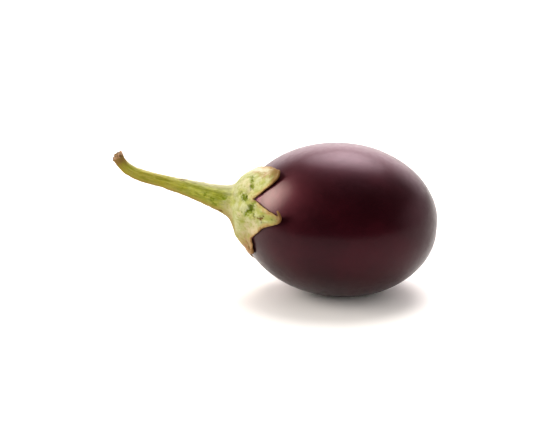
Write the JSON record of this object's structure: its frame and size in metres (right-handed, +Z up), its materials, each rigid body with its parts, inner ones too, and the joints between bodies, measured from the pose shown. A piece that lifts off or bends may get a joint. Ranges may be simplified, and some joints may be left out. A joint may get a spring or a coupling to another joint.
{
  "type": "eggplant",
  "caption": "Small oval eggplant lying on its side, with a glossy dark maroon skin, a green pointed calyx and a stout green stalk that hooks up at its torn end.",
  "frame": {"origin": "the middle of the flat spot under the fruit that the eggplant rests on", "axes": "+Z up, +X level, from the stalk to the blossom end"},
  "size_m": [0.1233, 0.0588, 0.0584],
  "materials": {
    "skin": "glossy dark maroon skin",
    "calyx": "matt yellow-green, mottled with tan"
  },
  "bodies": {
    "root": {"fruit": "skin", "calyx_and_stalk": "calyx"}
  },
  "joints": []
}
